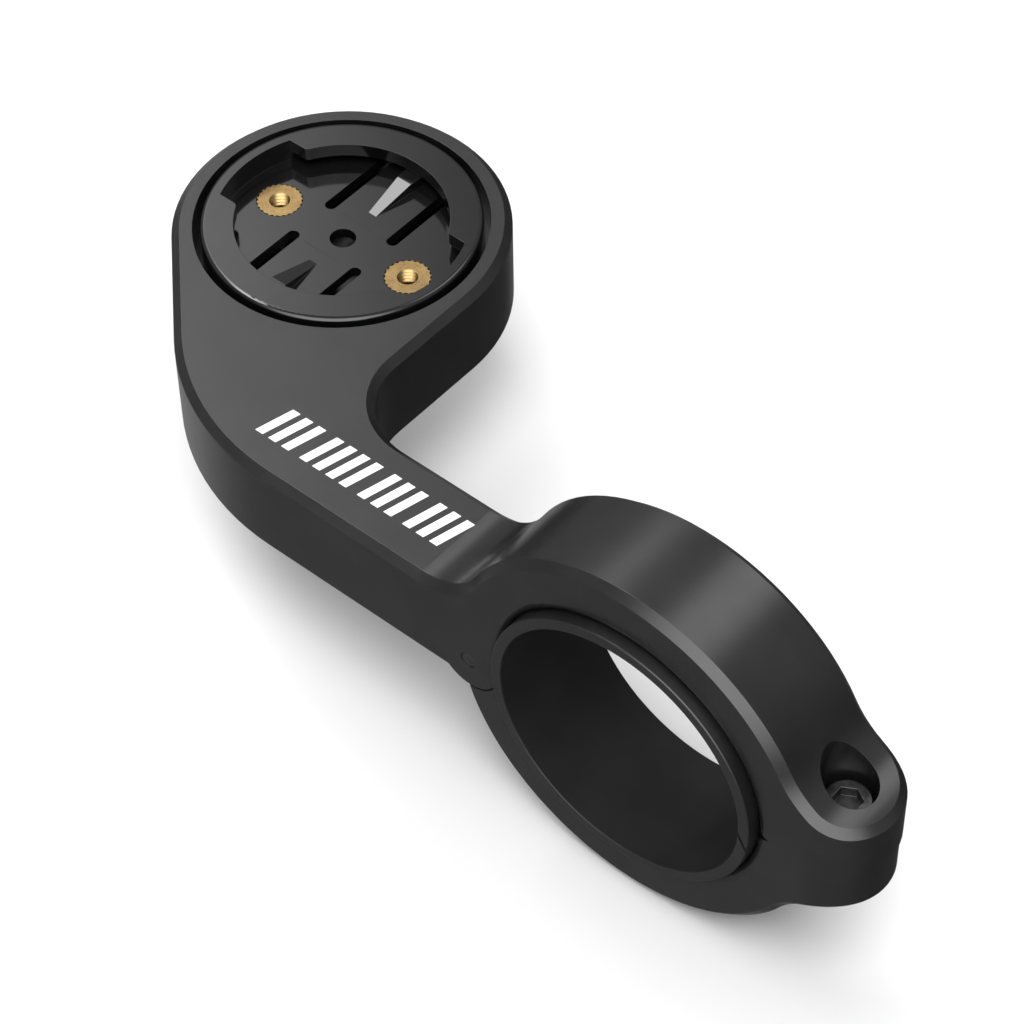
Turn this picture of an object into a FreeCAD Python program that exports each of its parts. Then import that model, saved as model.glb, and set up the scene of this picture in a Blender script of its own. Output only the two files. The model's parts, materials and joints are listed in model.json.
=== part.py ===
import FreeCAD, Part
import math
import os

# Out-front handlebar mount for a cycling computer, as an assembly of separate parts.
# Millimetres. Origin: centre of the handlebar bore, at the middle of the clamp's width.
# +X runs along the handlebar, +Y points forwards from the clamp to the head, +Z is up.

V = FreeCAD.Vector
os.makedirs("parts", exist_ok=True)

# How far a cutter runs past the face it cuts, and how closely an edge must match to be picked.
PAST = 1.0
MATCH = 0.01

# Handlebar and the plastic shim ring around it.
BAR_R = 15.9
SHIM_WALL = 1.4
SHIM_HALF = 7.7
SHIM_R = BAR_R + SHIM_WALL
SHIM_EDGE = 0.12
SEAM_INNER = (-15.3, 0.85)
SEAM_OUTER = (-18.0, -3.9)
SEAM_WIDTH = 0.35

# Clamp ring: two halves that meet on a level plane.
CLAMP_HALF = 6.5
CLAMP_R = 23.5
BORE_R = SHIM_R + 0.05
MOUTH_ROUND = 1.05
SPLIT_TOP = -0.2
SPLIT_LOW = -0.25
SPLIT_ROUND = 2.0
EDGE = 0.95

# Bolt lug, on the rider's side of the clamp.
LUG_END_Y = -29.75
LUG_LOWER_END_Y = -29.5
LUG_TOP = 6.55
LUG_BLEND = 9.75
LUG_BOTTOM = 6.75
LUG_BOTTOM_BLEND = 9.8

# Clamp bolt, its washer and the captive nut.
BOLT_Y = -23.9
BOLT_R = 1.5
BOLT_HOLE_R = 1.7
BOLT_LENGTH = 8.0
BOLT_HEAD_R = 2.75
BOLT_HEAD_H = 3.0
BOLT_SEAT = 1.5
BOLT_KEY_AF = 2.9
BOLT_KEY_DEPTH = 1.3
BOLT_EDGE = 0.3
COUNTERBORE_R = 3.1
WASHER_R = 2.95
WASHER_BORE_R = 1.6
WASHER_T = 0.5
NUT_AF = 5.5
NUT_FIT = 0.06
NUT_T = 2.4
NUT_TOP = -4.0
NUT_BORE_R = 1.65

# Hinge between the clamp halves.
PIN_Y = 21.57
PIN_Z = -2.9
PIN_R = 0.98
PIN_HOLE_R = 1.0
PIN_HALF = 6.45
PIN_EDGE = 0.1
KNUCKLE_R = 4.0
KNUCKLE_LOW_ANGLE = -115.0
SEAT_R = 4.2
SEAT_GAP = 0.45
TONGUE_R = 3.6
TONGUE_HALF = 2.45
SLOT_HALF = 2.6
SLOT_CLEARANCE = 0.25
HEEL_RING_ANGLE = -19.8
HEEL_SEAT_ANGLE = -92.0

# Arm and head.
ARM_TOP = 5.97
ARM_BOTTOM = -5.7
ARM_BLEND = 8.43
ARM_ROOT_Y = 40.0
ARM_START_Y = 33.0
HUB_X = 28.9
HUB_Y = 71.4
HEAD_R = 20.1
SWEEP_R = 32.0
SWEEP_DEG = 45.0
INNER_CORNER_R = 9.2

# Round cup in the head.
CUP_R = 17.6
CUP_GROOVE_FLOOR = 1.0
CUP_FIT_R = 16.75
CUP_FLOOR = -1.2

# Quarter-turn socket that drops into the cup.
SOCKET_R = 16.7
SOCKET_TOP = 6.35
SOCKET_EDGE = 0.55
FLANGE_BOTTOM = 4.6
FLOOR_TOP = 3.15
FLOOR_BOTTOM = 1.75
CHANNEL_R = 15.3
OPENING_R = 12.75
NOTCH_R = 15.15
NOTCH_HALF = 6.1
NOTCH_CORNER_R = 0.8
OPENING_EDGE = 0.2
CENTRE_HOLE_R = 1.58
BOSS_R = 4.0

# Spring tongues cut into the socket's floor, each with a wedge that holds the computer.
TONGUE_SIDE_Y = 4.15
TONGUE_SLOT_WIDTH = 1.5
TONGUE_SLOT_END_X = 2.6
TONGUE_ROOT_X = 3.2
TONGUE_ROOT_GAP = 0.04
TONGUE_END_R = 14.9
WEDGE_START_X = 5.2
WEDGE_CREST_X = 11.0
WEDGE_END_X = 13.2
WEDGE_HEIGHT = 1.3
WEDGE_ROOT = 2.25
WEDGE_HALF_START = 0.6
WEDGE_HALF_END = 1.25

# Brass threaded inserts in the socket, and the screws that hold them from below.
INSERT_Y = 10.2
INSERT_R = 2.8
INSERT_ROOT_R = 2.6
INSERT_TEETH = 24
INSERT_BOTTOM = -0.9
THREAD_MAJOR_R = 1.5
THREAD_MINOR_R = 1.25
THREAD_PITCH = 0.5
THREAD_START = 0.9
SCREW_R = 1.47
SCREW_LENGTH = 4.0
SCREW_SEAT = -3.2
SCREW_HEAD_R = 2.75
SCREW_HEAD_H = 2.0
SCREW_KEY_AF = 2.0
SCREW_KEY_DEPTH = 1.1
SCREW_HOLE_R = 1.65
SCREW_COUNTERBORE_R = 3.1

# Weight-saving pockets moulded into the underside of the arm and the head.
POCKET_TOP = 2.6
POCKET_HALF = 4.2
POCKET_ROWS = [(28.5, 36.5), (38.3, 46.3)]
POCKET_CORNER_R = 1.0
RECESS_TOP = -3.2
RECESS_INNER_R = 5.5
RECESS_OUTER_R = 17.6
RECESS_RIB_HALF = 1.0
RECESS_SCREW_PAD_R = 5.2


def cylinder(radius, low, high, x=0.0, y=0.0):
    """Upright cylinder between two heights."""
    return Part.makeCylinder(radius, high - low, V(x, y, low), V(0, 0, 1))


def cylinder_x(radius, half, y=0.0, z=0.0):
    """Cylinder along X, centred on the clamp's mid-plane."""
    return Part.makeCylinder(radius, 2 * half, V(-half, y, z), V(1, 0, 0))


def box(x0, x1, y0, y1, z0, z1):
    """Block between two corners."""
    return Part.makeBox(x1 - x0, y1 - y0, z1 - z0, V(x0, y0, z0))


def on_circle(radius, angle_deg, centre=(0.0, 0.0)):
    """Point on a circle, by its angle from the first axis."""
    angle = math.radians(angle_deg)
    return (centre[0] + radius * math.cos(angle), centre[1] + radius * math.sin(angle))


def outline(start, steps, place):
    """Closed face from a start point and steps: (end,) is a line, (middle, end) an arc."""
    edges = []
    here = start
    for step in steps + [(start,)]:
        end = step[-1]
        if len(step) == 1:
            edges.append(Part.makeLine(place(here), place(end)))
        else:
            edges.append(Part.Arc(place(here), place(step[0]), place(end)).toShape())
        here = end
    return Part.Face(Part.Wire(edges))


def prism_x(start, steps, half):
    """Side profile in (y, z), extruded along X to both sides of the mid-plane."""
    face = outline(start, steps, lambda p: V(-half, p[0], p[1]))
    return face.extrude(V(2 * half, 0, 0))


def prism_y(start, steps, half):
    """Front profile in (x, z), extruded along Y to both sides of the socket's centre."""
    face = outline(start, steps, lambda p: V(HUB_X + p[0], HUB_Y - half, p[1]))
    return face.extrude(V(0, 2 * half, 0))


def prism_z(start, steps, low, high):
    """Plan outline in (x, y), extruded between two heights."""
    face = outline(start, steps, lambda p: V(p[0], p[1], low))
    return face.extrude(V(0, 0, high - low))


def hexagon(across_flats, low, high, x, y):
    """Upright hexagonal prism."""
    corner_r = across_flats / math.sqrt(3)
    corners = [on_circle(corner_r, 60 * k, (x, y)) for k in range(6)]
    return prism_z(corners[0], [(c,) for c in corners[1:]], low, high)


def edges_where(shape, wanted):
    """Edges that pass a test on the edge's bounding box."""
    return [edge for edge in shape.Edges if wanted(edge.BoundBox)]


def is_rim(b, level):
    """True for a level edge at that height."""
    return b.ZLength < MATCH and abs(b.ZMin - level) < MATCH


def blend_centre(level, radius, side):
    """Centre of a round that is tangent to a level line and to the clamp's outside."""
    z = level + math.copysign(radius, level)
    return (side * math.sqrt((CLAMP_R + radius) ** 2 - z * z), z)


def on_ring(centre, radius):
    """Point where a round about that centre touches the clamp's outside."""
    scale = CLAMP_R / (CLAMP_R + radius)
    return (centre[0] * scale, centre[1] * scale)


def arc_middle(centre, radius, first, last):
    """Middle of the short arc between two points on a circle."""
    across = (first[0] + last[0]) / 2 - centre[0]
    along = (first[1] + last[1]) / 2 - centre[1]
    scale = radius / math.hypot(across, along)
    return (centre[0] + across * scale, centre[1] + along * scale)


def clamp_plan(end_y):
    """Everything inside the clamp's plan: straight sides and a round end at the bolt."""
    reach = 2 * CLAMP_R
    end_centre = end_y + CLAMP_HALF
    sides = box(-CLAMP_HALF, CLAMP_HALF, end_centre, reach, -reach, reach)
    return sides.fuse(cylinder(CLAMP_HALF, -reach, reach, 0, end_centre)).removeSplitter()


def bore_cutter():
    """Handlebar bore with rounded mouths on both faces."""
    wide = BORE_R + MOUTH_ROUND
    out = CLAMP_HALF + PAST
    turn = MOUTH_ROUND * (1 - math.sqrt(0.5))
    flat = CLAMP_HALF - MOUTH_ROUND
    steps = [
        ((-out, wide),),
        ((-CLAMP_HALF, wide),),
        ((-CLAMP_HALF + turn, BORE_R + turn), (-flat, BORE_R)),
        ((flat, BORE_R),),
        ((CLAMP_HALF - turn, BORE_R + turn), (CLAMP_HALF, wide)),
        ((out, wide),),
        ((out, 0.0),),
    ]
    face = outline((-out, 0.0), steps, lambda p: V(p[0], p[1], 0))
    return face.revolve(V(0, 0, 0), V(1, 0, 0), 360)


def split_cutter():
    """Notch that rounds off both halves where the split reaches the bore."""
    wall = -BORE_R
    turn = SPLIT_ROUND * (1 - math.sqrt(0.5))
    steps = [
        ((wall, SPLIT_TOP + SPLIT_ROUND),),
        ((wall - turn, SPLIT_TOP + turn), (wall - SPLIT_ROUND, SPLIT_TOP)),
        ((wall - SPLIT_ROUND, SPLIT_LOW),),
        ((wall - turn, SPLIT_LOW - turn), (wall, SPLIT_LOW - SPLIT_ROUND)),
        ((wall + PAST, SPLIT_LOW - SPLIT_ROUND),),
    ]
    return prism_x((wall + PAST, SPLIT_TOP + SPLIT_ROUND), steps, CLAMP_HALF + PAST)


def clamp_upper():
    """Upper half of the clamp with its lug and the root of the arm, before the cuts."""
    lug_c = blend_centre(LUG_TOP, LUG_BLEND, -1)
    arm_c = blend_centre(ARM_TOP, ARM_BLEND, 1)
    lug_touch = on_ring(lug_c, LUG_BLEND)
    arm_touch = on_ring(arm_c, ARM_BLEND)
    lug_foot = (lug_c[0], LUG_TOP)
    arm_foot = (arm_c[0], ARM_TOP)
    knuckle_y = PIN_Y + math.sqrt(KNUCKLE_R ** 2 - (PIN_Z - ARM_BOTTOM) ** 2)
    end = LUG_END_Y - PAST
    steps = [
        ((end, LUG_TOP),),
        (lug_foot,),
        (arc_middle(lug_c, LUG_BLEND, lug_foot, lug_touch), lug_touch),
        ((0.0, CLAMP_R), arm_touch),
        (arc_middle(arm_c, ARM_BLEND, arm_touch, arm_foot), arm_foot),
        ((ARM_ROOT_Y, ARM_TOP),),
        ((ARM_ROOT_Y, ARM_BOTTOM),),
        ((knuckle_y, ARM_BOTTOM),),
        (on_circle(KNUCKLE_R, KNUCKLE_LOW_ANGLE, (PIN_Y, PIN_Z)), (PIN_Y - KNUCKLE_R, PIN_Z)),
        ((0.0, PIN_Z),),
        ((0.0, SPLIT_TOP),),
    ]
    blank = prism_x((end, SPLIT_TOP), steps, CLAMP_HALF).common(clamp_plan(LUG_END_Y))

    def top_rim(b):
        on_side = b.XLength < MATCH and abs(b.XMin) > CLAMP_HALF - MATCH
        lug_end = b.YMax < LUG_END_Y + CLAMP_HALF + MATCH
        above = b.ZMin > min(LUG_TOP, ARM_TOP) - MATCH
        return above and (on_side or lug_end) and b.YLength > MATCH

    return blank.makeChamfer(EDGE, edges_where(blank, top_rim))


def arm_and_head():
    """Arm that sweeps sideways into the round head, as one slab with broken edges."""
    lean = math.radians(SWEEP_DEG)
    outer_gap = SWEEP_R - HEAD_R
    sweep_x = SWEEP_R - CLAMP_HALF
    sweep_y = HUB_Y - (HUB_X - sweep_x) / math.tan(lean) - outer_gap / math.sin(lean)
    hub = (HUB_X, HUB_Y)
    flank_y = HUB_Y - HEAD_R
    corner = (CLAMP_HALF + INNER_CORNER_R, flank_y - INNER_CORNER_R)
    sweep = (sweep_x, sweep_y)
    leave = 180 - SWEEP_DEG
    steps = [
        ((-CLAMP_HALF, sweep_y),),
        (on_circle(SWEEP_R, (180 + leave) / 2, sweep), on_circle(SWEEP_R, leave, sweep)),
        (on_circle(HEAD_R, leave, hub),),
        (on_circle(HEAD_R, (leave - 90) / 2, hub), on_circle(HEAD_R, -90, hub)),
        ((corner[0], flank_y),),
        (on_circle(INNER_CORNER_R, 135, corner), (CLAMP_HALF, corner[1])),
        ((CLAMP_HALF, ARM_START_Y),),
    ]
    slab = prism_z((-CLAMP_HALF, ARM_START_Y), steps, ARM_BOTTOM, ARM_TOP)

    def top_rim(b):
        return is_rim(b, ARM_TOP) and b.YMax > ARM_START_Y + MATCH

    return slab.makeChamfer(EDGE, edges_where(slab, top_rim))


def hinge_cuts():
    """Slot for the lower half's knuckle, and the pin hole."""
    slot = cylinder_x(TONGUE_R + SLOT_CLEARANCE, SLOT_HALF, PIN_Y, PIN_Z)
    sweep = cylinder_x(SEAT_R + SLOT_CLEARANCE, SLOT_HALF, PIN_Y, PIN_Z)
    below = box(-SLOT_HALF, SLOT_HALF, 0, 2 * PIN_Y, -CLAMP_R, PIN_Z)
    pin_hole = cylinder_x(PIN_HOLE_R, CLAMP_HALF + PAST, PIN_Y, PIN_Z)
    return slot.fuse([sweep.common(below), pin_hole])


def lug_cuts():
    """Bolt hole and the vertical counterbore through the sloping top of the lug."""
    hole = cylinder(BOLT_HOLE_R, SPLIT_TOP - PAST, CLAMP_R, 0, BOLT_Y)
    counterbore = cylinder(COUNTERBORE_R, BOLT_SEAT - WASHER_T, CLAMP_R, 0, BOLT_Y)
    return hole.fuse(counterbore)


def cup_cuts():
    """Cup for the socket, and the two screw holes with counterbores from below."""
    cuts = [
        cylinder(CUP_R, CUP_GROOVE_FLOOR, ARM_TOP + PAST, HUB_X, HUB_Y),
        cylinder(CUP_FIT_R, CUP_FLOOR, ARM_TOP, HUB_X, HUB_Y),
    ]
    for side in (-1, 1):
        y = HUB_Y + side * INSERT_Y
        cuts.append(cylinder(SCREW_HOLE_R, ARM_BOTTOM - PAST, ARM_TOP, HUB_X, y))
        cuts.append(cylinder(SCREW_COUNTERBORE_R, ARM_BOTTOM - PAST, SCREW_SEAT, HUB_X, y))
    return cuts


def underside_cuts():
    """Pockets between ribs under the arm, and four shallow recesses under the head."""
    cuts = []
    for y0, y1 in POCKET_ROWS:
        pocket = box(-POCKET_HALF, POCKET_HALF, y0, y1, ARM_BOTTOM - PAST, POCKET_TOP)
        upright = edges_where(pocket, lambda b: b.ZLength > MATCH)
        cuts.append(pocket.makeFillet(POCKET_CORNER_R, upright))
    low = ARM_BOTTOM - PAST
    recess = cylinder(RECESS_OUTER_R, low, RECESS_TOP, HUB_X, HUB_Y)
    recess = recess.cut(cylinder(RECESS_INNER_R, low, RECESS_TOP, HUB_X, HUB_Y))
    reach = 2 * RECESS_OUTER_R
    rib = RECESS_RIB_HALF
    recess = recess.cut(box(HUB_X - reach, HUB_X + reach, HUB_Y - rib, HUB_Y + rib, low, RECESS_TOP))
    recess = recess.cut(box(HUB_X - rib, HUB_X + rib, HUB_Y - reach, HUB_Y + reach, low, RECESS_TOP))
    for side in (-1, 1):
        pad = cylinder(RECESS_SCREW_PAD_R, low, RECESS_TOP, HUB_X, HUB_Y + side * INSERT_Y)
        recess = recess.cut(pad)
    cuts.extend(recess.Solids)
    return cuts


def arm_body():
    """Upper clamp half, arm and head in one moulding."""
    body = clamp_upper().fuse(arm_and_head()).removeSplitter()
    cuts = [bore_cutter(), split_cutter(), hinge_cuts(), lug_cuts()]
    return body.cut(cuts + cup_cuts() + underside_cuts())


def lower_clamp():
    """Lower clamp half with its lug, hinge knuckle and hexagonal nut pocket."""
    lug_c = blend_centre(-LUG_BOTTOM, LUG_BOTTOM_BLEND, -1)
    lug_touch = on_ring(lug_c, LUG_BOTTOM_BLEND)
    lug_foot = (lug_c[0], -LUG_BOTTOM)
    seat_top = (PIN_Y - math.sqrt(SEAT_R ** 2 - SEAT_GAP ** 2), PIN_Z - SEAT_GAP)
    pin = (PIN_Y, PIN_Z)
    seat_middle = on_circle(SEAT_R, (HEEL_SEAT_ANGLE - 180) / 2, pin)
    end = LUG_LOWER_END_Y - PAST
    steps = [
        ((end, -LUG_BOTTOM),),
        (lug_foot,),
        (arc_middle(lug_c, LUG_BOTTOM_BLEND, lug_foot, lug_touch), lug_touch),
        ((0.0, -CLAMP_R), on_circle(CLAMP_R, HEEL_RING_ANGLE)),
        (on_circle(SEAT_R, HEEL_SEAT_ANGLE, pin),),
        (seat_middle, seat_top),
        ((0.0, PIN_Z - SEAT_GAP),),
        ((0.0, SPLIT_LOW),),
    ]
    body = prism_x((end, SPLIT_LOW), steps, CLAMP_HALF).common(clamp_plan(LUG_LOWER_END_Y))

    def bottom_rim(b):
        on_side = b.XLength < MATCH and abs(b.XMin) > CLAMP_HALF - MATCH
        lug_end = b.YMax < LUG_LOWER_END_Y + CLAMP_HALF + MATCH
        below = b.ZMax < SPLIT_LOW - PAST and b.YMin < 0 and b.YLength > MATCH
        return below and (on_side or lug_end)

    body = body.makeChamfer(EDGE, edges_where(body, bottom_rim))
    neck = cylinder_x(SEAT_R + SEAT_GAP, TONGUE_HALF, PIN_Y, PIN_Z)
    corner = box(-TONGUE_HALF, TONGUE_HALF, 0, PIN_Y, -CLAMP_R, PIN_Z - SEAT_GAP)
    body = body.fuse([neck.common(corner), cylinder_x(TONGUE_R, TONGUE_HALF, PIN_Y, PIN_Z)])
    cuts = [
        bore_cutter(),
        split_cutter(),
        cylinder_x(PIN_HOLE_R, CLAMP_HALF, PIN_Y, PIN_Z),
        cylinder(BOLT_HOLE_R, -CLAMP_R, 0, 0, BOLT_Y),
        hexagon(NUT_AF + 2 * NUT_FIT, -CLAMP_R, NUT_TOP, 0, BOLT_Y),
    ]
    return body.removeSplitter().cut(cuts)


def hinge_pin():
    """Plain steel pin through the knuckles."""
    pin = cylinder_x(PIN_R, PIN_HALF, PIN_Y, PIN_Z)
    return pin.makeChamfer(PIN_EDGE, edges_where(pin, lambda b: b.XLength < MATCH))


def bar_shim():
    """Split plastic ring that grips the handlebar, with a slanted seam."""
    ring = cylinder_x(SHIM_R, SHIM_HALF)
    ring = ring.cut(cylinder_x(BAR_R, SHIM_HALF + PAST))
    ring = ring.makeChamfer(SHIM_EDGE, edges_where(ring, lambda b: b.XLength < MATCH))
    y0, z0 = SEAM_INNER
    y1, z1 = SEAM_OUTER
    length = math.hypot(y1 - y0, z1 - z0)
    across = (-(z1 - z0) / length * SEAM_WIDTH / 2, (y1 - y0) / length * SEAM_WIDTH / 2)
    steps = [
        ((y1 + across[0], z1 + across[1]),),
        ((y1 - across[0], z1 - across[1]),),
        ((y0 - across[0], z0 - across[1]),),
    ]
    seam = prism_x((y0 + across[0], z0 + across[1]), steps, SHIM_HALF + PAST)
    return ring.cut(seam)


def cap_screw(radius, length, seat, head_r, head_h, key_af, key_depth, y, x, up):
    """Socket-head cap screw; up is +1 with the head on top, -1 with the head below."""
    tip = seat - up * length
    top = seat + up * head_h
    shank = cylinder(radius, min(tip, seat), max(tip, seat), x, y)
    shank = shank.makeChamfer(BOLT_EDGE, edges_where(shank, lambda b: is_rim(b, tip)))
    head = cylinder(head_r, min(seat, top), max(seat, top), x, y)
    head = head.makeChamfer(BOLT_EDGE, edges_where(head, lambda b: is_rim(b, top)))
    key_floor = top - up * key_depth
    key = hexagon(key_af, min(top, key_floor), max(top, key_floor), x, y)
    return head.fuse(shank).removeSplitter().cut(key)


def clamp_bolt():
    """Bolt that squeezes the two lugs together."""
    return cap_screw(BOLT_R, BOLT_LENGTH, BOLT_SEAT, BOLT_HEAD_R, BOLT_HEAD_H,
                     BOLT_KEY_AF, BOLT_KEY_DEPTH, BOLT_Y, 0.0, 1)


def bolt_washer():
    """Flat washer under the bolt's head."""
    low = BOLT_SEAT - WASHER_T
    washer = cylinder(WASHER_R, low, BOLT_SEAT, 0, BOLT_Y)
    return washer.cut(cylinder(WASHER_BORE_R, low - PAST, BOLT_SEAT + PAST, 0, BOLT_Y))


def clamp_nut():
    """Hexagonal nut held in the pocket of the lower lug."""
    nut = hexagon(NUT_AF, NUT_TOP - NUT_T, NUT_TOP, 0, BOLT_Y)
    return nut.cut(cylinder(NUT_BORE_R, NUT_TOP - NUT_T - PAST, NUT_TOP + PAST, 0, BOLT_Y))


def socket_opening():
    """Opening in the socket's flange: a circle with a notch at the front and the rear."""
    low = FLANGE_BOTTOM
    high = SOCKET_TOP + PAST
    wide = cylinder(NOTCH_R, low, high, HUB_X, HUB_Y)
    band = box(HUB_X - NOTCH_HALF, HUB_X + NOTCH_HALF, HUB_Y - CUP_R, HUB_Y + CUP_R, low, high)
    opening = cylinder(OPENING_R, low, high, HUB_X, HUB_Y).fuse(wide.common(band)).removeSplitter()

    def inner_corner(b):
        reach = math.hypot(b.XMin - HUB_X, b.YMin - HUB_Y)
        return b.ZLength > MATCH and b.XLength < MATCH and abs(reach - OPENING_R) < MATCH

    return opening.makeFillet(NOTCH_CORNER_R, edges_where(opening, inner_corner))


def tongue_space(side):
    """Room cut in the floor for one spring tongue and the slots beside it."""
    low = FLOOR_BOTTOM - PAST
    high = FLOOR_TOP + PAST
    wide = TONGUE_SIDE_Y + TONGUE_SLOT_WIDTH
    round_r = TONGUE_SLOT_WIDTH / 2
    start = TONGUE_SLOT_END_X + round_r
    far = CHANNEL_R + PAST
    parts = [block_from_hub(side, TONGUE_ROOT_X, far, -wide, wide, low, high)]
    for y in (-wide + round_r, wide - round_r):
        parts.append(cylinder(round_r, low, high, HUB_X + side * start, HUB_Y + y))
    space = parts[0].fuse(parts[1:])
    return space.common(cylinder(CHANNEL_R, low, high, HUB_X, HUB_Y))


def block_from_hub(side, near, far, y0, y1, low, high):
    """Block measured outwards from the socket's centre, on the left or right side."""
    x0 = min(side * near, side * far)
    x1 = max(side * near, side * far)
    return box(HUB_X + x0, HUB_X + x1, HUB_Y + y0, HUB_Y + y1, low, high)


def socket_insert():
    """Quarter-turn socket: slotted flange, channel below it, floor and screw bosses."""
    body = cylinder(SOCKET_R, CUP_FLOOR, SOCKET_TOP, HUB_X, HUB_Y)
    body = body.makeFillet(SOCKET_EDGE, edges_where(body, lambda b: is_rim(b, SOCKET_TOP)))
    cavity = cylinder(CHANNEL_R, CUP_FLOOR - PAST, FLOOR_BOTTOM, HUB_X, HUB_Y)
    for side in (-1, 1):
        y = HUB_Y + side * INSERT_Y
        cavity = cavity.cut(cylinder(BOSS_R, CUP_FLOOR - PAST, FLOOR_BOTTOM, HUB_X, y))
    cuts = [
        cylinder(CHANNEL_R, FLOOR_TOP, FLANGE_BOTTOM, HUB_X, HUB_Y),
        cavity,
        socket_opening(),
        tongue_space(-1),
        tongue_space(1),
        cylinder(CENTRE_HOLE_R, CUP_FLOOR, FLOOR_TOP, HUB_X, HUB_Y),
    ]
    for side in (-1, 1):
        y = HUB_Y + side * INSERT_Y
        cuts.append(cylinder(INSERT_R, INSERT_BOTTOM, FLOOR_TOP + PAST, HUB_X, y))
        cuts.append(cylinder(SCREW_HOLE_R, CUP_FLOOR - PAST, FLOOR_TOP, HUB_X, y))
    return body.cut(cuts)


def detent_tongue(side):
    """Spring tongue with the wedge that snaps behind the computer's tab."""
    start = TONGUE_ROOT_X + TONGUE_ROOT_GAP
    plate = block_from_hub(side, start, CHANNEL_R, -TONGUE_SIDE_Y, TONGUE_SIDE_Y,
                           FLOOR_BOTTOM, FLOOR_TOP)
    plate = plate.common(cylinder(TONGUE_END_R, FLOOR_BOTTOM, FLOOR_TOP, HUB_X, HUB_Y))
    crest = FLOOR_TOP + WEDGE_HEIGHT
    profile = [
        ((side * WEDGE_CREST_X, crest),),
        ((side * WEDGE_END_X, crest),),
        ((side * WEDGE_END_X, WEDGE_ROOT),),
        ((side * WEDGE_START_X, WEDGE_ROOT),),
    ]
    ramp = prism_y((side * WEDGE_START_X, FLOOR_TOP), profile, WEDGE_HALF_END)
    near = HUB_X + side * WEDGE_START_X
    far = HUB_X + side * WEDGE_END_X
    plan = [
        ((far, HUB_Y - WEDGE_HALF_END),),
        ((far, HUB_Y + WEDGE_HALF_END),),
        ((near, HUB_Y + WEDGE_HALF_START),),
    ]
    footprint = prism_z((near, HUB_Y - WEDGE_HALF_START), plan, FLOOR_BOTTOM, crest + PAST)
    return plate.fuse(ramp.common(footprint)).removeSplitter()


def brass_insert(side):
    """Knurled brass insert, threaded at the top and plain where the screw sits."""
    y = HUB_Y + side * INSERT_Y
    points = []
    for k in range(INSERT_TEETH):
        points.append(on_circle(INSERT_R, 360 * k / INSERT_TEETH, (HUB_X, y)))
        points.append(on_circle(INSERT_ROOT_R, 360 * (k + 0.5) / INSERT_TEETH, (HUB_X, y)))
    body = prism_z(points[0], [(p,) for p in points[1:]], INSERT_BOTTOM, FLOOR_TOP)
    cuts = [
        cylinder(THREAD_MAJOR_R, INSERT_BOTTOM - PAST, THREAD_START, HUB_X, y),
        cylinder(THREAD_MINOR_R, THREAD_START - PAST, FLOOR_TOP + PAST, HUB_X, y),
    ]
    turns = int((FLOOR_TOP - THREAD_START) / THREAD_PITCH)
    half = THREAD_PITCH / 2
    for k in range(turns):
        low = FLOOR_TOP - (k + 1) * THREAD_PITCH
        cuts.append(Part.makeCone(THREAD_MINOR_R, THREAD_MAJOR_R, half, V(HUB_X, y, low)))
        cuts.append(Part.makeCone(THREAD_MAJOR_R, THREAD_MINOR_R, half, V(HUB_X, y, low + half)))
    return body.cut(cuts)


def socket_screw(side):
    """Screw from below that pulls the socket down into the cup."""
    return cap_screw(SCREW_R, SCREW_LENGTH, SCREW_SEAT, SCREW_HEAD_R, SCREW_HEAD_H,
                     SCREW_KEY_AF, SCREW_KEY_DEPTH, HUB_Y + side * INSERT_Y, HUB_X, -1)


PARTS = {
    "arm_body": arm_body(),
    "lower_clamp": lower_clamp(),
    "hinge_pin": hinge_pin(),
    "bar_shim": bar_shim(),
    "clamp_bolt": clamp_bolt(),
    "bolt_washer": bolt_washer(),
    "clamp_nut": clamp_nut(),
    "socket_insert": socket_insert(),
    "detent_tongue_left": detent_tongue(-1),
    "detent_tongue_right": detent_tongue(1),
    "brass_insert_rear": brass_insert(-1),
    "brass_insert_front": brass_insert(1),
    "socket_screw_rear": socket_screw(-1),
    "socket_screw_front": socket_screw(1),
}

for name, shape in PARTS.items():
    solids = shape.Solids
    if len(solids) != 1 or not solids[0].isValid():
        raise RuntimeError(name + " is not one valid solid")
    solids[0].exportStep(os.path.join("parts", name + ".step"))
    print(name, round(solids[0].Volume, 1))
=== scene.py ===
import bmesh
import bpy
import json
import math
from mathutils import Matrix, Vector

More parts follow.
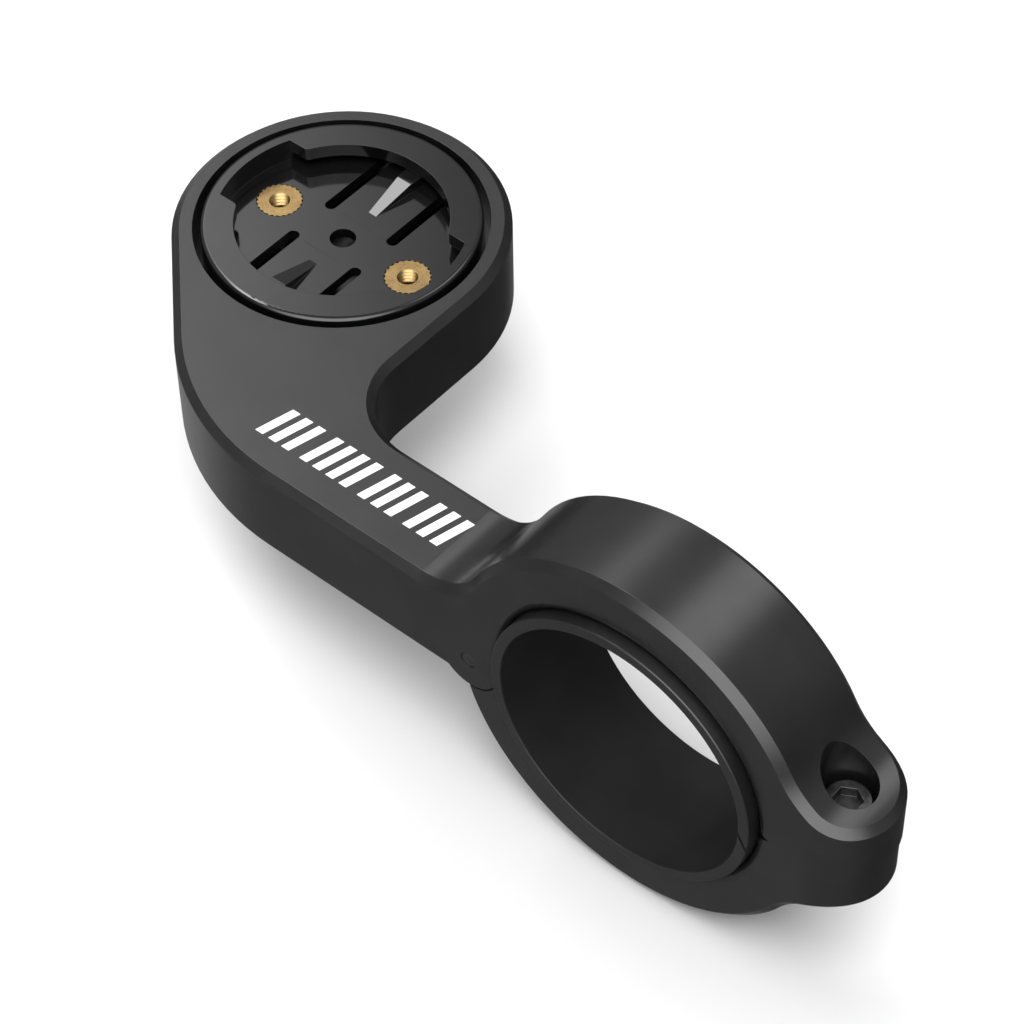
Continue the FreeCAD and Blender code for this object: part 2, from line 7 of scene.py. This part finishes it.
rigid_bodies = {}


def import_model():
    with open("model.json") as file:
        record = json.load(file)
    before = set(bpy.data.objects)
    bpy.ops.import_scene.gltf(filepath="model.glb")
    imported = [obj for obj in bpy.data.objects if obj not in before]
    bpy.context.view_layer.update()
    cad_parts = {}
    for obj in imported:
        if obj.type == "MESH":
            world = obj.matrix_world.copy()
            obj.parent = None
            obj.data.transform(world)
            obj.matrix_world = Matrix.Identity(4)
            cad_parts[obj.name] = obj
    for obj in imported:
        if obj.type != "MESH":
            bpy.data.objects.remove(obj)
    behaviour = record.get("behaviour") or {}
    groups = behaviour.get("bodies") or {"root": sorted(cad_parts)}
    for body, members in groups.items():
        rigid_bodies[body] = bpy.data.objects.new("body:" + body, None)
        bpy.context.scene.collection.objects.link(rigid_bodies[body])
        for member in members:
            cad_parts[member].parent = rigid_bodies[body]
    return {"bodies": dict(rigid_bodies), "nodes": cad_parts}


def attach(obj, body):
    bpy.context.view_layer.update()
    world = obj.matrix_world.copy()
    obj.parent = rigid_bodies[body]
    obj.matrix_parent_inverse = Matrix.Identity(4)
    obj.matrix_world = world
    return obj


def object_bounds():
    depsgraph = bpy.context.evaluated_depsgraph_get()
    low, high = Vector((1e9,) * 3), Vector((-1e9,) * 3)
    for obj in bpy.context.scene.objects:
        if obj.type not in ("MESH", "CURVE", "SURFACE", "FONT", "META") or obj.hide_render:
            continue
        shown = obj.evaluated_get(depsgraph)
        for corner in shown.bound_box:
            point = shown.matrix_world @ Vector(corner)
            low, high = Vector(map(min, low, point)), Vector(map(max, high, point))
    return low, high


# Looks for an out-front handlebar mount for a cycling computer. Metres, in the part's own frame.

MM = 0.001

# Camera: where it looks, and from where.
VIEW_TARGET = Vector((10.85, 29.99, 0.0)) * MM
VIEW_AZIMUTH = 41.02
VIEW_ELEVATION = 48.68
VIEW_ROLL = -1.01
VIEW_DISTANCE = 375.7 * MM
VIEW_LENS = 119.1

# Printed marking on the arm: groups of slanted bars, a stand-in for printed lettering.
MARK_CENTRE = Vector((0.45, 42.4)) * MM
MARK_HEIGHT = 4.9 * MM
MARK_BAR = 1.1 * MM
MARK_GAP = 0.85 * MM
MARK_GROUP_GAP = 0.75 * MM
MARK_GROUPS = (3, 4, 3, 3)
MARK_SLANT = 14.0
MARK_THICKNESS = 0.02 * MM
ARM_TOP = 5.97 * MM

# Rounding of the edges of moulded and machined parts, in shading.
MOULD_EDGE = 0.05 * MM
SOCKET_EDGE = 0.05 * MM
METAL_EDGE = 0.08 * MM

# How strongly moulded plastic reflects, and the duller inside of the shim ring.
PLASTIC_GLOSS = 0.8
BODY_ROUGHNESS = 0.25
SOCKET_ROUGHNESS = 0.10
SHIM_ROUGHNESS = 0.36
BORE_GLOSS = 0.25
BORE_ROUGHNESS = 0.6
BORE_R = 15.95 * MM

# Sizes of the mottling, the wear and the grain in moulded plastic, and how much wear changes
# its roughness either way.
MOTTLE = 6.0 * MM
WEAR = 2.5 * MM
SMOOTHER = 0.01
ROUGHER = 0.015
GRAIN = 0.12 * MM
SOCKET_GRAIN = 0.15 * MM
GRAIN_DEPTH = 0.001 * MM
SOCKET_GRAIN_DEPTH = 0.0005 * MM

# Colours, as linear red, green and blue.
BODY_BLACK = (0.009, 0.009, 0.0093)
SOCKET_BLACK = (0.005, 0.005, 0.0052)
SHIM_BLACK = (0.008, 0.008, 0.0083)
BLACKENED_STEEL = (0.13, 0.13, 0.133)
BRIGHT_STEEL = (0.45, 0.45, 0.46)
BRASS_DULL = (0.43, 0.28, 0.12)
BRASS_BRIGHT = (0.51, 0.35, 0.15)
INK_THIN = (0.82, 0.82, 0.81)
INK_FULL = (0.93, 0.93, 0.92)
PAPER_DARK = (0.73, 0.73, 0.73)
PAPER_LIGHT = (0.75, 0.75, 0.75)

# Floor: half its width, and how far it lies under the part.
FLOOR_HALF = 3.0
FLOOR_GAP = 0.2 * MM

# How far the clamp opens, and how much lower the jaw hangs then.
JAW_OPEN = 50.0
JAW_DROP = 21.5 * MM

# What the part reflects: a gradient from dark below to pale above, and round soft lights.
# Each light: direction towards it, half-angles of its even core and of its soft rim, radiance.
# The last one takes light away, as a dark card would.
SKY_LOW = 0.21
SKY_HIGH = 0.37
SOFT_LIGHTS = (
    ((0.18, 0.50, 0.85), 4.0, 12.0, 6.3),
    ((-0.19, 0.51, 0.84), 4.0, 12.0, 10.0),
    ((0.370, 0.617, 0.695), 3.0, 13.0, 1.75),
    ((0.50, -0.15, 0.85), 6.0, 18.0, 1.8),
    ((-0.68, -0.42, 0.60), 15.0, 50.0, 2.9),
    ((0.31, 0.59, -0.74), 10.0, 40.0, 0.22),
    ((0.72, -0.25, -0.62), 35.0, 75.0, -0.15),
)

# What shades the floor: an even fill, and wide lamps that leave no reflections.
# Each lamp: azimuth from +X towards +Y, elevation, strength.
FILL = 0.576
LAMP_SIZE = 30.0
FLOOR_LAMPS = (
    (90.0, 65.0, 0.85),
    (240.0, 65.0, 0.72),
    (210.0, 65.0, 1.60),
    (60.0, 25.0, 1.74),
)

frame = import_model()
CAD_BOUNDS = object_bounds()
NODES = frame["nodes"]


class Paint:
    """A procedural material, built up from a principled shader in object space."""

    def __init__(self, name):
        self.material = bpy.data.materials.new(name)
        self.material.use_nodes = True
        self.tree = self.material.node_tree
        self.shader = self.tree.nodes["Principled BSDF"]
        self.place = self.tree.nodes.new("ShaderNodeTexCoord").outputs["Object"]
        self.normal = None

    def node(self, kind, **values):
        """New node, with its properties set."""
        made = self.tree.nodes.new(kind)
        for key, value in values.items():
            setattr(made, key, value)
        return made

    def link(self, source, target):
        """Wire an output to an input."""
        self.tree.links.new(source, target)

    def noise(self, size, detail=3.0, roughness=0.5):
        """Noise whose features are about this many metres across."""
        made = self.node("ShaderNodeTexNoise")
        self.link(self.place, made.inputs["Vector"])
        made.inputs["Scale"].default_value = 1.0 / size
        made.inputs["Detail"].default_value = detail
        made.inputs["Roughness"].default_value = roughness
        return made.outputs["Fac"]

    def spread(self, source, low, high, start=0.35, end=0.65):
        """Number that runs from low to high as the source runs from start to end."""
        made = self.node("ShaderNodeMapRange", clamp=True)
        self.link(source, made.inputs["Value"])
        made.inputs["From Min"].default_value = start
        made.inputs["From Max"].default_value = end
        made.inputs["To Min"].default_value = low
        made.inputs["To Max"].default_value = high
        return made.outputs["Result"]

    def mix(self, factor, first, second):
        """Colour between two colours, each an output or a tuple."""
        made = self.node("ShaderNodeMix", data_type="RGBA")
        self.link(factor, made.inputs["Factor"])
        for value, target in ((first, made.inputs[6]), (second, made.inputs[7])):
            if isinstance(value, tuple):
                target.default_value = (*value, 1.0)
            else:
                self.link(value, target)
        return made.outputs[2]

    def round_edges(self, radius):
        """Shades sharp edges as if rounded to this radius, and returns a mask of them."""
        rounded = self.node("ShaderNodeBevel", samples=8)
        rounded.inputs["Radius"].default_value = radius
        self.normal = rounded.outputs["Normal"]
        self.link(self.normal, self.shader.inputs["Normal"])
        plain = self.node("ShaderNodeNewGeometry")
        compare = self.node("ShaderNodeVectorMath", operation="DOT_PRODUCT")
        self.link(self.normal, compare.inputs[0])
        self.link(plain.outputs["Normal"], compare.inputs[1])
        return self.spread(compare.outputs["Value"], 1.0, 0.0, 0.80, 0.99)

    def bump(self, height, depth):
        """Bump of this depth in metres, on top of any rounded edges."""
        made = self.node("ShaderNodeBump")
        made.inputs["Distance"].default_value = depth
        self.link(height, made.inputs["Height"])
        if self.normal is not None:
            self.link(self.normal, made.inputs["Normal"])
        self.normal = made.outputs["Normal"]
        self.link(self.normal, self.shader.inputs["Normal"])

    def colour(self, source):
        self.link(source, self.shader.inputs["Base Color"])

    def roughness(self, source):
        self.link(source, self.shader.inputs["Roughness"])


def worn_gloss(paint, rough):
    """Roughness of moulded plastic, slightly uneven from handling."""
    return paint.spread(paint.noise(WEAR, 5.0), rough - SMOOTHER, rough + ROUGHER)


def black_plastic(name, tone, rough, edge, grain, depth):
    """Moulded black plastic: fine grain, faint mottling and slightly paler edges."""
    paint = Paint(name)
    rubbed = paint.round_edges(edge)
    dark = tuple(t * 0.8 for t in tone)
    light = tuple(t * 1.2 for t in tone)
    mottled = paint.mix(paint.spread(paint.noise(MOTTLE), 0.0, 1.0), dark, light)
    edge_tone = tuple(t * 2.0 for t in tone)
    paint.colour(paint.mix(paint.spread(rubbed, 0.0, 0.4, 0.0, 1.0), mottled, edge_tone))
    paint.shader.inputs["Specular IOR Level"].default_value = PLASTIC_GLOSS
    paint.roughness(worn_gloss(paint, rough))
    paint.bump(paint.noise(grain, 2.0), depth)
    return paint


def matte_inside(paint):
    """Duller inside of the shim ring, where it grips the handlebar."""
    split = paint.node("ShaderNodeSeparateXYZ")
    paint.link(paint.place, split.inputs["Vector"])
    across = paint.node("ShaderNodeCombineXYZ")
    paint.link(split.outputs["Y"], across.inputs["Y"])
    paint.link(split.outputs["Z"], across.inputs["Z"])
    reach = paint.node("ShaderNodeVectorMath", operation="LENGTH")
    paint.link(across.outputs["Vector"], reach.inputs[0])
    radius = reach.outputs["Value"]
    outside = BORE_R + MOULD_EDGE
    gloss = paint.spread(radius, BORE_GLOSS, PLASTIC_GLOSS, BORE_R, outside)
    paint.link(gloss, paint.shader.inputs["Specular IOR Level"])
    inside = paint.spread(radius, 1.0, 0.0, BORE_R, outside)
    blend = paint.node("ShaderNodeMapRange")
    paint.link(inside, blend.inputs["Value"])
    paint.link(worn_gloss(paint, SHIM_ROUGHNESS), blend.inputs["To Min"])
    blend.inputs["To Max"].default_value = BORE_ROUGHNESS
    paint.roughness(blend.outputs["Result"])


def brass():
    """Turned brass: warm metal with a very fine grain and duller patches."""
    paint = Paint("turned_brass")
    paint.round_edges(METAL_EDGE / 2)
    patches = paint.spread(paint.noise(1.2 * MM), 0.0, 1.0)
    paint.colour(paint.mix(patches, BRASS_DULL, BRASS_BRIGHT))
    paint.shader.inputs["Metallic"].default_value = 1.0
    paint.roughness(paint.spread(paint.noise(0.4 * MM, 4.0), 0.25, 0.33))
    paint.bump(paint.noise(0.08 * MM, 2.0), 0.0005 * MM)
    return paint


def steel(name, tone, rough):
    """Machined steel, blackened or bright, rubbed paler on its edges."""
    paint = Paint(name)
    rubbed = paint.round_edges(METAL_EDGE)
    dark = tuple(t * 0.8 for t in tone)
    light = tuple(t * 1.25 for t in tone)
    mottled = paint.mix(paint.spread(paint.noise(0.8 * MM), 0.0, 1.0), dark, light)
    paint.colour(paint.mix(rubbed, mottled, tuple(t * 1.8 for t in tone)))
    paint.shader.inputs["Metallic"].default_value = 1.0
    paint.roughness(paint.spread(paint.noise(0.3 * MM, 4.0), rough - 0.05, rough + 0.07))
    paint.bump(paint.noise(0.10 * MM, 2.0), 0.002 * MM)
    return paint


def white_ink():
    """Pad-printed white ink, very slightly uneven."""
    paint = Paint("white_ink")
    uneven = paint.spread(paint.noise(0.8 * MM), 0.0, 1.0)
    paint.colour(paint.mix(uneven, INK_THIN, INK_FULL))
    paint.roughness(paint.spread(paint.noise(0.3 * MM), 0.42, 0.55))
    paint.bump(paint.noise(0.10 * MM, 2.0), 0.002 * MM)
    return paint.material


def paper():
    """Pale studio floor."""
    paint = Paint("studio_paper")
    cloudy = paint.spread(paint.noise(60 * MM), 0.0, 1.0)
    paint.colour(paint.mix(cloudy, PAPER_DARK, PAPER_LIGHT))
    paint.roughness(paint.spread(paint.noise(5 * MM), 0.85, 0.95))
    return paint.material


def dress(names, paint):
    """Gives CAD nodes their material."""
    for name in names:
        node = NODES[name]
        node.data.materials.clear()
        node.data.materials.append(paint.material)


def slanted_bar(mesh, centre_y, top):
    """One slanted bar of the marking, as a thin raised patch."""
    lean = math.tan(math.radians(MARK_SLANT)) * MARK_HEIGHT / 2
    half = MARK_BAR / 2
    corners = [
        (MARK_HEIGHT / 2, centre_y - half - lean),
        (MARK_HEIGHT / 2, centre_y + half - lean),
        (-MARK_HEIGHT / 2, centre_y + half + lean),
        (-MARK_HEIGHT / 2, centre_y - half + lean),
    ]
    low = [mesh.verts.new((MARK_CENTRE.x + x, y, top - MARK_THICKNESS)) for x, y in corners]
    high = [mesh.verts.new((MARK_CENTRE.x + x, y, top + MARK_THICKNESS)) for x, y in corners]
    mesh.faces.new(high)
    mesh.faces.new(list(reversed(low)))
    for k in range(4):
        mesh.faces.new((low[k], low[(k + 1) % 4], high[(k + 1) % 4], high[k]))


def arm_marking():
    """Groups of slanted white bars printed along the top of the arm."""
    step = MARK_BAR + MARK_GAP
    length = sum(MARK_GROUPS) * step - MARK_GAP + (len(MARK_GROUPS) - 1) * MARK_GROUP_GAP
    y = MARK_CENTRE.y + length / 2 - MARK_BAR / 2
    mesh = bmesh.new()
    for count in MARK_GROUPS:
        for _ in range(count):
            slanted_bar(mesh, y, ARM_TOP)
            y -= step
        y -= MARK_GROUP_GAP
    data = bpy.data.meshes.new("arm_marking")
    bmesh.ops.recalc_face_normals(mesh, faces=mesh.faces)
    mesh.to_mesh(data)
    mesh.free()
    piece = bpy.data.objects.new("arm_marking", data)
    bpy.context.scene.collection.objects.link(piece)
    data.materials.append(white_ink())
    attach(piece, "mount")


def sink_with_clamp(floor):
    """Lowers the floor as the clamp opens, so that the open jaw stays above it."""
    follow = floor.constraints.new("TRANSFORM")
    follow.target = frame["bodies"]["lower_jaw"]
    follow.map_from = "ROTATION"
    follow.from_max_x_rot = math.radians(JAW_OPEN)
    follow.map_to = "LOCATION"
    follow.map_to_z_from = "X"
    follow.to_max_z = -JAW_DROP
    follow.mix_mode = "ADD"


def studio_floor():
    """Large pale floor just under the lowest point of the object."""
    level = CAD_BOUNDS[0].z - FLOOR_GAP
    mesh = bmesh.new()
    place = Matrix.Translation((0, 0, level))
    bmesh.ops.create_grid(mesh, x_segments=4, y_segments=4, size=FLOOR_HALF, matrix=place)
    data = bpy.data.meshes.new("floor")
    mesh.to_mesh(data)
    mesh.free()
    floor = bpy.data.objects.new("floor", data)
    floor.visible_glossy = False
    bpy.context.scene.collection.objects.link(floor)
    data.materials.append(paper())
    sink_with_clamp(floor)


def sky_ramp(tree, source, start, end, low, high):
    """Radiance that eases from low to high as the source runs from start to end."""
    ramp = tree.nodes.new("ShaderNodeMapRange")
    ramp.interpolation_type = "SMOOTHSTEP"
    for key, value in (("From Min", start), ("From Max", end), ("To Min", low), ("To Max", high)):
        ramp.inputs[key].default_value = value
    tree.links.new(source, ramp.inputs["Value"])
    return ramp.outputs["Result"]


def studio_sky():
    """Surroundings: a gradient and soft lights in reflections, an even fill for the rest."""
    world = bpy.data.worlds.new("studio")
    world.use_nodes = True
    tree = world.node_tree
    look = tree.nodes.new("ShaderNodeTexCoord").outputs["Generated"]
    split = tree.nodes.new("ShaderNodeSeparateXYZ")
    tree.links.new(look, split.inputs["Vector"])
    total = sky_ramp(tree, split.outputs["Z"], 0.0, 0.6, SKY_LOW, SKY_HIGH)
    for direction, core, rim, radiance in SOFT_LIGHTS:
        facing = tree.nodes.new("ShaderNodeVectorMath")
        facing.operation = "DOT_PRODUCT"
        facing.inputs[1].default_value = Vector(direction).normalized()
        tree.links.new(look, facing.inputs[0])
        start = math.cos(math.radians(rim))
        end = math.cos(math.radians(core))
        light = sky_ramp(tree, facing.outputs["Value"], start, end, 0.0, radiance)
        add = tree.nodes.new("ShaderNodeMath")
        tree.links.new(total, add.inputs[0])
        tree.links.new(light, add.inputs[1])
        total = add.outputs["Value"]
    even = tree.nodes.new("ShaderNodeMapRange")
    even.inputs["To Max"].default_value = FILL
    rays = tree.nodes.new("ShaderNodeLightPath")
    tree.links.new(rays.outputs["Is Diffuse Ray"], even.inputs["Value"])
    tree.links.new(total, even.inputs["To Min"])
    tree.links.new(even.outputs["Result"], tree.nodes["Background"].inputs["Strength"])
    tree.nodes["Background"].inputs["Color"].default_value = (1.0, 1.0, 1.0, 1.0)
    world.cycles.sampling_method = "NONE"
    bpy.context.scene.world = world


def floor_lamps():
    """Wide lamps that give the floor its soft shadow, unseen in the part's reflections."""
    for azimuth, elevation, strength in FLOOR_LAMPS:
        data = bpy.data.lights.new("floor_lamp", "SUN")
        data.energy = strength
        data.angle = math.radians(LAMP_SIZE)
        lamp = bpy.data.objects.new("floor_lamp", data)
        level = math.cos(math.radians(elevation))
        towards = Vector((
            level * math.cos(math.radians(azimuth)),
            level * math.sin(math.radians(azimuth)),
            math.sin(math.radians(elevation)),
        ))
        lamp.rotation_mode = "QUATERNION"
        lamp.rotation_quaternion = towards.to_track_quat("Z", "Y")
        lamp.visible_glossy = False
        bpy.context.scene.collection.objects.link(lamp)


def photo_camera():
    """Camera at the product-picture angle."""
    azimuth = math.radians(VIEW_AZIMUTH)
    elevation = math.radians(VIEW_ELEVATION)
    level = math.cos(elevation)
    back = Vector((-math.cos(azimuth) * level, -math.sin(azimuth) * level, math.sin(elevation)))
    right = Vector((0, 0, 1)).cross(back).normalized()
    up = back.cross(right)
    turn = Matrix.Rotation(math.radians(VIEW_ROLL), 4, "Z")
    axes = Matrix((right, up, back)).transposed().to_4x4()
    data = bpy.data.cameras.new("camera")
    data.lens = VIEW_LENS
    data.sensor_width = 36.0
    data.clip_start = 0.01
    data.clip_end = 20.0
    camera = bpy.data.objects.new("camera", data)
    bpy.context.scene.collection.objects.link(camera)
    camera.matrix_world = Matrix.Translation(VIEW_TARGET + back * VIEW_DISTANCE) @ axes @ turn
    bpy.context.scene.camera = camera


body = black_plastic("body_plastic", BODY_BLACK, BODY_ROUGHNESS, MOULD_EDGE, GRAIN, GRAIN_DEPTH)
satin = black_plastic("socket_plastic", SOCKET_BLACK, SOCKET_ROUGHNESS, SOCKET_EDGE,
                      SOCKET_GRAIN, SOCKET_GRAIN_DEPTH)
shim = black_plastic("shim_plastic", SHIM_BLACK, SHIM_ROUGHNESS, MOULD_EDGE, GRAIN, GRAIN_DEPTH)
matte_inside(shim)
black_steel = steel("blackened_steel", BLACKENED_STEEL, 0.36)
bright_steel = steel("turned_steel", BRIGHT_STEEL, 0.30)
dress(["arm_body", "lower_clamp"], body)
dress(["socket_insert", "detent_tongue_left", "detent_tongue_right"], satin)
dress(["bar_shim"], shim)
dress(["clamp_bolt", "bolt_washer", "hinge_pin", "socket_screw_rear", "socket_screw_front"], black_steel)
dress(["clamp_nut"], bright_steel)
dress(["brass_insert_rear", "brass_insert_front"], brass())
arm_marking()
studio_floor()
studio_sky()
floor_lamps()
photo_camera()
bpy.context.scene.view_settings.view_transform = "Standard"
